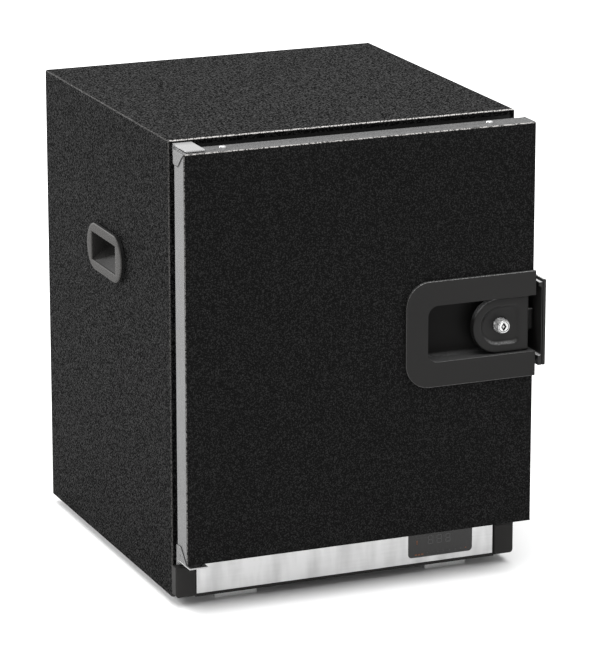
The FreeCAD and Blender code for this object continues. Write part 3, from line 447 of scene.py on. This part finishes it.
def solid(name, body, slot, shells, smooth=35.0, look=None):
    """One piece from closed shells of (points, faces) in cabinet millimetres. It rides on a CAD body."""
    points, faces = [], []
    for shell_points, shell_faces in shells:
        base = len(points)
        points += [at(*p) for p in shell_points]
        faces += [tuple(base + i for i in face) for face in shell_faces]
    mesh = bpy.data.meshes.new(name)
    mesh.from_pydata(points, [], faces)
    tidy = bmesh.new()
    tidy.from_mesh(mesh)
    bmesh.ops.recalc_face_normals(tidy, faces=tidy.faces)
    tidy.to_mesh(mesh)
    tidy.free()
    mesh.shade_smooth()
    mesh.set_sharp_from_angle(angle=math.radians(smooth))
    mesh.materials.append(look or materials[slot])
    piece = bpy.data.objects.new(name, mesh)
    bpy.context.scene.collection.objects.link(piece)
    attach(piece, body)
    return piece


def loft(rings, first=True, last=True, loop=False):
    """The shell through rings of equally many points, closed by flat ends or back to its first ring."""
    count = len(rings[0])
    points = [p for ring in rings for p in ring]
    faces = []
    spans = [(k, k + 1) for k in range(len(rings) - 1)]
    if loop:
        spans.append((len(rings) - 1, 0))
    for a, b in spans:
        for i in range(count):
            j = (i + 1) % count
            faces.append((a * count + i, a * count + j, b * count + j, b * count + i))
    if first and not loop:
        faces.append(tuple(range(count))[::-1])
    if last and not loop:
        faces.append(tuple(range((len(rings) - 1) * count, len(rings) * count)))
    return points, faces


def prism(outline, x):
    """A plate from an outline of (y, z) points, between two x values."""
    return loft([[(u, y, z) for y, z in outline] for u in x])


def slab(x, y, z):
    """A box from three (low, high) pairs."""
    outline = [(y[0], z[0]), (y[1], z[0]), (y[1], z[1]), (y[0], z[1])]
    return prism(outline, x)


def soften(piece, width, segments=2):
    """Rounds a piece's corners by a width in millimetres."""
    bevel = piece.modifiers.new("soft_edges", "BEVEL")
    bevel.width = width * MM
    bevel.segments = segments
    bevel.limit_method = "ANGLE"
    bevel.angle_limit = math.radians(30)
    piece.modifiers.new("even_shading", "WEIGHTED_NORMAL").keep_sharp = True
    return piece


def rounded_ring(u, v, radii, arc=12, straight=8):
    """Points round a rounded rectangle, from its low corner: the same number for any size and radii."""
    corners = [(u[0], v[0]), (u[1], v[0]), (u[1], v[1]), (u[0], v[1])]
    inward = [(1, 1), (-1, 1), (-1, -1), (1, -1)]
    turned = []
    for k, ((a, b), (da, db)) in enumerate(zip(corners, inward)):
        r = max(radii[k], 0.01)
        for i in range(arc + 1):
            angle = math.radians(180 + 90 * k + 90 * i / arc)
            turned.append((a + da * r + r * math.cos(angle), b + db * r + r * math.sin(angle)))
    ring = []
    for i, (a, b) in enumerate(turned):
        ring.append((a, b))
        if i % (arc + 1) == arc:
            c, d = turned[(i + 1) % len(turned)]
            for k in range(1, straight + 1):
                t = k / (straight + 1)
                ring.append((a + (c - a) * t, b + (d - b) * t))
    return ring


def lock_circle(y, radius, flute=0.0):
    """A circle round the lock's axis, notched by eight flutes of this depth."""
    ring = []
    for i in range(TURN_STEPS):
        angle = 2 * math.pi * i / TURN_STEPS
        r = radius - (flute if i % FLUTE_PITCH in FLUTE_STEPS else 0.0)
        ring.append((LOCK_X + r * math.cos(angle), y, LOCK_Z + r * math.sin(angle)))
    return ring


def lock_diamond(y, half_x, half_z):
    """A diamond round the lock's axis with the same point count as lock_circle."""
    ring = []
    for i in range(TURN_STEPS):
        angle = 2 * math.pi * i / TURN_STEPS
        r = 1 / (abs(math.cos(angle)) / half_x + abs(math.sin(angle)) / half_z)
        ring.append((LOCK_X + r * math.cos(angle), y, LOCK_Z + r * math.sin(angle)))
    return ring


def upright_rod(centre, radius, z, steps=40):
    """A cylinder along Z with small edge chamfers."""
    rings = []
    for level, r in ((z[0], radius - 0.3), (z[0] + 0.3, radius), (z[1] - 0.3, radius), (z[1], radius - 0.3)):
        rings.append([(centre[0] + r * math.cos(2 * math.pi * i / steps),
                       centre[1] + r * math.sin(2 * math.pi * i / steps), level) for i in range(steps)])
    return loft(rings)


# ---------------------------------------------------------------- latch and lock

def edge_bead(path, y, radius, steps=8):
    """A thin round bead along a path of (x, z) points at one depth."""
    rings = []
    for i, (x, z) in enumerate(path):
        before, after = path[max(i - 1, 0)], path[min(i + 1, len(path) - 1)]
        along = Vector((after[0] - before[0], after[1] - before[1])).normalized()
        ring = []
        for k in range(steps):
            angle = 2 * math.pi * k / steps
            out = radius * math.cos(angle)
            ring.append((x - along.y * out, y + radius * math.sin(angle), z + along.x * out))
        rings.append(ring)
    return loft(rings)


def c_path(left, right, z, radius, arc=16):
    """The C of the pull: along the top to the left, round two corners and back along the bottom."""
    path = [(right, z[1])]
    for k, level in ((0, z[1] - radius), (1, z[0] + radius)):
        for i in range(arc + 1):
            angle = math.radians(90 + 90 * k + 90 * i / arc)
            path.append((left + radius + radius * math.cos(angle), level + radius * math.sin(angle)))
    return path + [(right, z[0])]


def make_pull_beads():
    """The fine rolled bead along the outer edge of the pull and round the mouth of its pocket, in a lighter
    plastic that paints the highlight of these edges.
    """
    right = PULL_RIGHT - 1.0
    outer_z = (PULL_Z[0] + BEAD_INSET, PULL_Z[1] - BEAD_INSET)
    mouth_z = (POCKET_Z[0] - MOUTH_INSET, POCKET_Z[1] + MOUTH_INSET)
    outer = c_path(PULL_LEFT + BEAD_INSET, right, outer_z, PULL_CORNER)
    mouth = c_path(POCKET_LEFT - MOUTH_INSET, right, mouth_z, POCKET_CORNER)
    beads = [edge_bead(outer, PULL_FRONT + 0.45, BEAD_RADIUS),
             edge_bead(mouth, PULL_FRONT + 0.4, MOUTH_BEAD_RADIUS)]
    solid("pull_edge_beads", "door", "latch_black", beads, look=bead_highlight_plastic)


def make_paddle():
    """The dished paddle: a rolled rim, a soft-walled D-shaped dish and a hole for the lock barrel."""

    def ring(y, margin, right, corner):
        z = (PADDLE_Z[0] + margin, PADDLE_Z[1] - margin)
        end = (z[1] - z[0]) / 2 - 0.01
        outline = rounded_ring((PADDLE_LEFT + margin, right), z, [end, corner, corner, end], arc=16)
        return [(x, y, level) for x, level in outline]

    def hole(y, radius, like):
        turned = []
        for x, _, z in like:
            angle = math.atan2(z - LOCK_Z, x - LOCK_X)
            turned.append((LOCK_X + radius * math.cos(angle), y, LOCK_Z + radius * math.sin(angle)))
        return turned

    # Each section is (y, margin, right end, corner radius), from the back over the rim into the dish.
    sections = [(-35.0, 0.8, 398.2, 0.8), (-35.6, 0.0, 399.0, 0.8), (-42.4, 0.0, 399.0, 0.8),
                (-43.2, 0.2, 398.8, 0.9), (-43.8, 0.8, 398.2, 1.2), (-44.0, 1.8, 397.2, 1.6),
                (-44.0, 7.4, 389.6, 8.0), (-43.9, 8.3, 388.7, 7.6), (-43.4, 9.4, 387.6, 7.2),
                (-42.4, 10.6, 386.4, 6.6), (-41.6, 11.8, 385.2, 6.0), (-41.15, 13.2, 383.8, 5.2),
                (-41.0, 14.8, 382.2, 4.4)]
    rings = [ring(*section) for section in sections]
    rings += [hole(y, r, rings[-1]) for y, r in ((-41.0, 9.7), (-40.95, 9.0), (-40.5, 8.6), (-36.0, 8.5))]
    shells = [loft(rings)] + [upright_rod(PADDLE_PIN, HUB_RADIUS, span) for span in HUB_SPANS]
    dish = solid("paddle_dish", "paddle", "latch_black", shells, smooth=50.0, look=paddle_plastic)
    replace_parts(dish, "latch_paddle")


def make_lock():
    """The fluted chrome barrel with its stepped face, and the plug with a diamond keyway."""
    # Each section is (y, radius, flute depth), from the back over the face into the bore.
    sections = [(-31.0, 8.0, 0.0), (-31.4, 8.2, 0.0), (-41.5, 8.2, 0.0), (-41.8, 8.2, 1.8), (-46.6, 8.2, 1.9),
                (-47.1, 8.05, 1.9), (-49.0, 7.2, 1.2), (-49.4, 7.0, 0.0), (-50.35, 6.8, 0.0),
                (-50.5, 6.6, 0.0), (-50.5, 6.2, 0.0), (-50.3, 6.05, 0.0), (-49.6, 5.95, 0.0),
                (-44.0, 5.6, 0.0)]
    shells = [loft([lock_circle(*section) for section in sections])]
    barrel = solid("lock_barrel", "paddle", "lock_chrome", shells, smooth=28.0)
    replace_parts(barrel, "lock_cylinder")
    plug = [lock_circle(-30.0, 5.5), lock_circle(-49.9, 5.5), lock_circle(-50.2, 5.2),
            lock_circle(-50.2, 4.7), lock_diamond(-50.2, 3.3, 5.0), lock_diamond(-50.1, 3.2, 4.9),
            lock_diamond(-48.0, 3.1, 4.8)]
    pin = [lock_diamond(-47.9, 1.5, 2.3), lock_diamond(-49.4, 1.3, 2.0), lock_diamond(-49.8, 0.6, 1.2)]
    face = solid("lock_plug_face", "lock", "lock_chrome", [loft(plug), loft(pin)], smooth=28.0)
    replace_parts(face, "lock_plug")
    # Painted shade: black sheets on the walls of the keyway and across the gap between plug and barrel.
    keyway = [lock_diamond(-50.15, 3.2, 4.9), lock_diamond(-48.06, 3.04, 4.7),
              lock_diamond(-48.06, 1.55, 2.4)]
    gap = [lock_circle(-49.95, 5.5), lock_circle(-49.95, 5.88), lock_circle(-49.6, 5.88)]
    solid("lock_keyway", "lock", "bush_black", [loft(keyway, first=False, last=False),
                                                loft(gap, first=False, last=False)])


# ---------------------------------------------------------------- carry handles

def make_carry_handle(side, mirror):
    """A bezel with a rolled face on a dark skirt, and the wedge cup that fingers enter. The skirt is the
    bezel's side wall, coloured black as painted shade for the shadow the bezel casts on the side panel.
    """

    def across(x):
        return WIDTH - x if mirror else x

    def bezel_ring(x, margin):
        y = (CARRY_Y[0] + margin, CARRY_Y[1] - margin)
        z = (CARRY_Z[0] + margin, CARRY_Z[1] - margin)
        outline = rounded_ring(y, z, [CARRY_RADIUS - margin] * 4)
        return [(across(x), u, v) for u, v in outline]

    def mouth_ring(x, margin):
        y = (MOUTH_Y[0] - margin, MOUTH_Y[1] + margin)
        z = (MOUTH_Z[0] - margin, MOUTH_Z[1] + margin)
        outline = rounded_ring(y, z, [1.0 + margin] * 4)
        return [(across(x), u, v) for u, v in outline]

    face = [(-3.2, 0.7), (-3.3, 0.1), (-3.6, 0.0), (-4.1, 0.3), (-4.45, 1.0), (-4.6, 2.2), (-4.6, 5.5)]
    rings = [bezel_ring(*section) for section in face]
    inner_edge = [(-4.6, 1.2), (-4.45, 0.45), (-4.1, 0.1), (-3.4, 0.0), (-3.2, 0.1)]
    rings += [mouth_ring(*section) for section in inner_edge]
    shells = [loft(rings, loop=True)]
    handle = solid(f"carry_handle_{side}_bezel", "cabinet", "handle_grey", shells, smooth=50.0)
    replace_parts(handle, f"carry_handle_{side}")
    # The skirt: the bezel's side wall, black as painted shade.
    skirt = [bezel_ring(0.0, 0.6), bezel_ring(-3.3, 0.5), mouth_ring(-3.3, 0.6), mouth_ring(0.0, 0.6)]
    solid(f"carry_handle_{side}_skirt", "cabinet", "gasket_dark", [loft(skirt, loop=True)])

    def cup_profile(grow):
        low, high = MOUTH_Z[0] - grow, MOUTH_Z[1] + grow
        deep = CUP_DEPTH + grow
        return [(CUP_MOUTH_X, low), (CUP_SLOPE_X + grow, low), (deep, high - CUP_BACK_HEIGHT - grow),
                (deep, high), (CUP_MOUTH_X, high)]

    def cup_ring(y, grow):
        return [(across(x), y, z) for x, z in cup_profile(grow)]

    inside = [cup_ring(MOUTH_Y[0], 0.0), cup_ring(MOUTH_Y[1], 0.0)]
    outside = [cup_ring(MOUTH_Y[0] - CUP_WALL, CUP_WALL), cup_ring(MOUTH_Y[1] + CUP_WALL, CUP_WALL)]
    points = inside[0] + inside[1] + outside[0] + outside[1]
    faces = []
    for i in range(4):
        faces.append((i, i + 1, i + 6, i + 5))
        faces.append((i + 10, i + 15, i + 16, i + 11))
    faces += [(0, 1, 2, 3, 4), (5, 6, 7, 8, 9), (10, 11, 12, 13, 14), (15, 16, 17, 18, 19)]
    faces += [(0, 4, 14, 10), (5, 9, 19, 15), (0, 5, 15, 10), (4, 9, 19, 14)]
    cup = solid(f"carry_handle_{side}_cup", "cabinet", "handle_grey", [(points, faces)], look=cup_shaded_plastic)
    soften(cup, 0.7, 3)


# ---------------------------------------------------------------- door corners and display

def make_corner_caps():
    """A thin cap over each corner of the door's sides, over a black strip that is painted shadow: the
    slanting dark line of the gap along the cap's edge.
    """
    # Outlines in (y, height from the door's end).
    cap = [(-15.6, 0.0), (-15.6, 15.2), (-27.0, 16.0), (-29.4, 14.7), (-38.8, 5.2), (-44.3, 0.8),
           (-44.3, 0.0)]
    shadow_outline = [(-15.6, 0.0), (-15.6, 16.0), (-27.4, 17.0), (-30.5, 15.6), (-40.0, 5.9), (-44.4, 2.2),
               (-44.4, 0.0)]
    caps, shadow_strips = [], []
    for side, outward in ((DOOR_SIDES[0], -1), (DOOR_SIDES[1], 1)):
        for level, up in ((DOOR_LEVELS[0], 1), (DOOR_LEVELS[1], -1)):
            plate = (side + outward * 0.25, side + outward * 0.8)
            shadow_depth = (side - outward * 0.1, side + outward * 0.25)
            caps.append(prism([(y, level + up * h) for y, h in cap], plate))
            shadow_strips.append(prism([(y, level + up * h) for y, h in shadow_outline], shadow_depth))
    piece = solid("door_corner_cap_plates", "door", "cap_grey", caps)
    soften(piece, 0.25)
    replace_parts(piece, "door_corner_caps")
    # Black strips a little larger than the caps: the painted shadow in the gap along their slanting edge.
    solid("door_corner_cap_painted_shadows", "door", "bush_black", shadow_strips)
    rivets = []
    for side, outward in ((DOOR_SIDES[0], -1), (DOOR_SIDES[1], 1)):
        rings = []
        for out, radius in ((0.5, 1.5), (0.75, 1.4), (0.8, 0.9)):
            rings.append([(side + outward * out, RIVET_Y + radius * math.cos(math.radians(a)),
                           RIVET_Z + radius * math.sin(math.radians(a))) for a in range(0, 360, 15)])
        rivets.append(loft(rings))
    solid("door_cap_rivets", "door", "screw_steel", rivets)


def make_display():
    """Three digits of seven unlit bars each, and the small plain marks round them, on the smoked face."""
    w, h = DIGIT_SIZE
    s = DIGIT_STROKE
    level = [(s * 0.6, w - s * 0.6, v) for v in (s / 2, h / 2, h - s / 2)]
    upright = [(u, low, high) for u in (s / 2, w - s / 2)
               for low, high in ((s * 0.6, h / 2 - s * 0.1), (h / 2 + s * 0.1, h - s * 0.6))]
    y = (STRIP_FRONT + 0.06, STRIP_FRONT + 0.2)
    bars = []
    for k in range(3):
        x0, z0 = DIGIT_ORIGIN[0] + DIGIT_PITCH * k, DIGIT_ORIGIN[1]
        for low, high, v in level:
            outline = [(low, v), (low + s / 2, v - s / 2), (high - s / 2, v - s / 2), (high, v),
                       (high - s / 2, v + s / 2), (low + s / 2, v + s / 2)]
            bars.append(loft([[(x0 + a, u, z0 + b) for a, b in outline] for u in y]))
        for v, low, high in upright:
            outline = [(v, low), (v + s / 2, low + s / 2), (v + s / 2, high - s / 2), (v, high),
                       (v - s / 2, high - s / 2), (v - s / 2, low + s / 2)]
            bars.append(loft([[(x0 + a, u, z0 + b) for a, b in outline] for u in y]))
    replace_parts(solid("display_segment_bars", "cabinet", "digit_light", bars), "display_digits")
    dots = [slab((x, x + 1.6), y, (13.4, 14.6)) for x in PALE_DOTS_X]
    solid("display_marks_pale", "cabinet", "digit_light", dots, look=mark_pale)
    amber = [slab((283.6, 284.6), y, (24.6, 29.4)), slab((342.0, 343.8), y, (13.6, 14.8))]
    amber += [slab((x, x + 2.6), y, (12.2, 13.6)) for x in AMBER_DASHES_X]
    solid("display_marks_amber", "cabinet", "digit_light", amber, look=mark_amber)


# ---------------------------------------------------------------- stage

def soft_sun(name, towards, spread, strength):
    """A sun as wide as a softbox: towards is its direction, and spread its width in degrees."""
    data = bpy.data.lights.new(name, "SUN")
    data.angle = math.radians(spread)
    data.energy = strength
    lamp = bpy.data.objects.new(name, data)
    lamp.location = Vector(towards) * 2.0
    lamp.rotation_mode = "QUATERNION"
    lamp.rotation_quaternion = (-Vector(towards)).to_track_quat("-Z", "Y")
    bpy.context.scene.collection.objects.link(lamp)


def build_stage():
    """A pale floor, an even surround, a wide light overhead and a narrower one from behind the left side."""
    mesh = bpy.data.meshes.new("floor")
    signs = [(-1, -1), (1, -1), (1, 1), (-1, 1)]
    mesh.from_pydata([(a * FLOOR_REACH, b * FLOOR_REACH, 0) for a, b in signs], [], [(0, 1, 2, 3)])
    floor = bpy.data.objects.new("floor", mesh)
    bpy.context.scene.collection.objects.link(floor)
    m = Nodes("floor_paper")
    m.link(m.ramp(m.noise(3.0), [(0.3, grey(0.93)), (0.7, grey(0.95))]), m.shader.inputs["Base Color"])
    m.constant(Roughness=0.9)
    mesh.materials.append(m.material)

    world = bpy.data.worlds.new("studio")
    world.use_nodes = True
    world.node_tree.nodes["Background"].inputs["Color"].default_value = (1, 1, 1, 1)
    world.node_tree.nodes["Background"].inputs["Strength"].default_value = SURROUND_STRENGTH
    bpy.context.scene.world = world
    soft_sun("overhead", *OVERHEAD)
    soft_sun("rear_key", *REAR_KEY)


def build_camera():
    data = bpy.data.cameras.new("camera")
    data.sensor_fit = "AUTO"
    data.sensor_width = CAMERA_SENSOR
    data.lens = CAMERA_LENS
    data.shift_x, data.shift_y = CAMERA_SHIFT
    data.clip_start = 0.05
    data.clip_end = 100.0
    camera = bpy.data.objects.new("camera", data)
    across = math.cos(CAMERA_ELEVATION)
    back = Vector((math.sin(CAMERA_AZIMUTH) * across, -math.cos(CAMERA_AZIMUTH) * across,
                   math.sin(CAMERA_ELEVATION)))
    camera.location = CAMERA_AIM + back * CAMERA_DISTANCE
    camera.rotation_mode = "QUATERNION"
    camera.rotation_quaternion = Quaternion(back, CAMERA_ROLL) @ (-back).to_track_quat("-Z", "Y")
    bpy.context.scene.collection.objects.link(camera)
    bpy.context.scene.camera = camera


materials = make_materials()
# A darker copy of the handle plastic inside the cups: painted shade.
cup_shaded_plastic = moulded("cup_inside_shaded_plastic", grey(0.023, 0.03), rough=0.7, spread=0.1, spec=0.08)
mark_pale = moulded("mark_print_pale", grey(0.035), rough=0.5, spread=0.2)
mark_amber = moulded("mark_print_amber", (0.16, 0.05, 0.012), rough=0.5, spread=0.2)
# Painted light on the paddle's upward faces, such as the dish's lower fillet.
paddle_plastic = moulded("paddle_plastic", grey(0.0105, 0.03), rough=0.42, spec=0.17, painted_topside_light=0.26)
# The beads are lighter than the pull, with light on their upward faces: painted highlight along the pull's
# edges.
bead_highlight_plastic = moulded("bead_highlight_plastic", grey(0.03, 0.03), rough=0.35, spec=0.3, painted_topside_light=0.4)
dress_cad_nodes(materials)
make_pull_beads()
make_paddle()
make_lock()
make_carry_handle("left", False)
make_carry_handle("right", True)
make_corner_caps()
make_display()
build_stage()
build_camera()
bpy.context.scene.view_settings.view_transform = "Standard"
